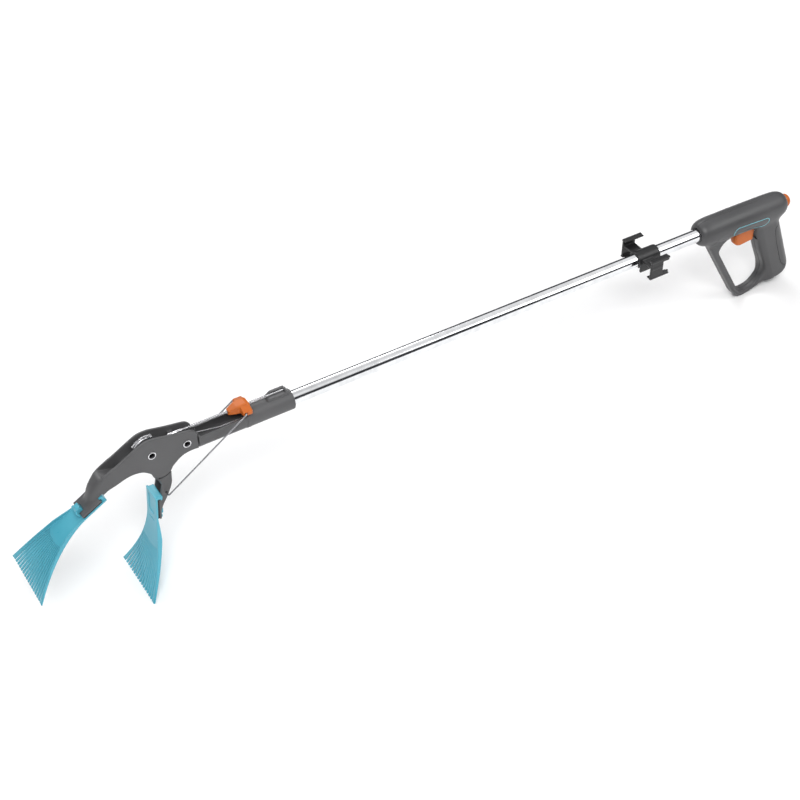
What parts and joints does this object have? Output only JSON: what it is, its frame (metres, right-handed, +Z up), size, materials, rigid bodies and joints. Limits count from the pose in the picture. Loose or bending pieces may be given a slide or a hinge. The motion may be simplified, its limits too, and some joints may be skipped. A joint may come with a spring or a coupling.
{
  "type": "reacher grabber",
  "caption": "Long-reach litter and leaf grabber: pistol handle with trigger, straight tube, cable-driven jaw head with clip-on rakes and a holder on the tube.",
  "frame": {"origin": "centre of the footprint on the floor, below the whole tool standing on the handle's foot and the rear rake's tips", "axes": "+X along the tool's length towards the handle, level with the floor; +Z up; +Y to the left of a user who looks along the tool from the handle, and the XZ plane is the tool's plane of symmetry"},
  "size_m": [1.119, 0.089, 0.2146],
  "materials": {
    "tube": "polished",
    "handle": "fine texture",
    "grip_strip": "soft matt",
    "badge": "gloss",
    "screws": "bright",
    "collar": "matt",
    "pins": "bright",
    "trigger": "satin",
    "springs": "bright",
    "nipples": "bright",
    "button": "satin",
    "cable": "stranded",
    "liner": "matt",
    "holder": "fine texture",
    "head": "fine texture",
    "pads": "matt",
    "rivets": "bright",
    "washers": "bright",
    "wheel": "smooth",
    "rod": "bright",
    "ferrule": "bright",
    "slider": "satin",
    "bail": "bright",
    "rake": "satin"
  },
  "bodies": {
    "tool": {"tube": "tube", "handle_shell_left": "handle", "handle_shell_right": "handle", "grip_strip": "grip_strip", "badge": "badge", "handle_screws": "screws", "tube_collar": "collar", "tube_pin": "pins", "trigger_spring": "springs", "button_spring": "springs", "pull_cable": "cable", "cable_liner": "liner", "head_socket": "head", "socket_screw": "screws", "front_jaw": "head", "front_foot_pad": "pads", "pivot_rivet": "rivets", "clamp_rivet": "rivets", "pivot_washers": "washers", "guide_rod": "rod", "rod_ferrule": "ferrule", "return_spring": "springs", "buffer_spring": "springs", "front_rake": "rake"},
    "moving_jaw": {"rear_jaw": "head", "rear_foot_pad": "pads", "cable_wheel": "wheel", "wheel_nipple": "nipples", "wheel_spring": "springs", "rear_rake": "rake"},
    "slide_block": {"slider": "slider"},
    "bail": {"wire_bail": "bail"},
    "trigger_set": {"trigger": "trigger", "trigger_nipple": "nipples"},
    "button": {"rear_button": "button"},
    "holder": {"accessory_holder": "holder"}
  },
  "joints": [
    {"name": "jaw_hinge", "type": "hinge", "parent": "tool", "child": "moving_jaw", "pos_m": [-0.38752, 0, 0.1916], "axis": [0, 1, 0], "range_deg": [0, 41], "stiffness_Nm_per_rad": 0.3, "springref_deg": -57.3, "deforming": ["pull_cable"]},
    {"name": "bail_hinge", "type": "hinge", "parent": "moving_jaw", "child": "bail", "pos_m": [-0.38077, 0, 0.12801], "axis": [0, 1, 0], "range_deg": [-36.8, 0]},
    {"name": "slider_slide", "type": "slide", "parent": "tool", "child": "slide_block", "axis": [-0.9983, 0, 0.0576], "range_m": [0, 0.0387], "deforming": ["return_spring"]},
    {"name": "trigger_slide", "type": "slide", "parent": "tool", "child": "trigger_set", "axis": [0.9983, 0, -0.0576], "range_m": [0, 0.0076], "deforming": ["trigger_spring"]},
    {"name": "button_slide", "type": "slide", "parent": "tool", "child": "button", "axis": [-0.9983, 0, 0.0576], "range_m": [0, 0.003], "stiffness_N_per_m": 400, "springref_m": -0.002, "deforming": ["button_spring"]},
    {"name": "holder_slide", "type": "slide", "parent": "tool", "child": "holder", "axis": [0.9983, 0, -0.0576], "range_m": [-0.48, 0.055]}
  ],
  "couplings": [
    {"joint": "bail_hinge", "follows": "jaw_hinge", "ratio": -0.88927},
    {"joint": "slider_slide", "follows": "jaw_hinge", "m_per_rad": 0.053732},
    {"joint": "trigger_slide", "follows": "jaw_hinge", "m_per_rad": 0.0105}
  ]
}
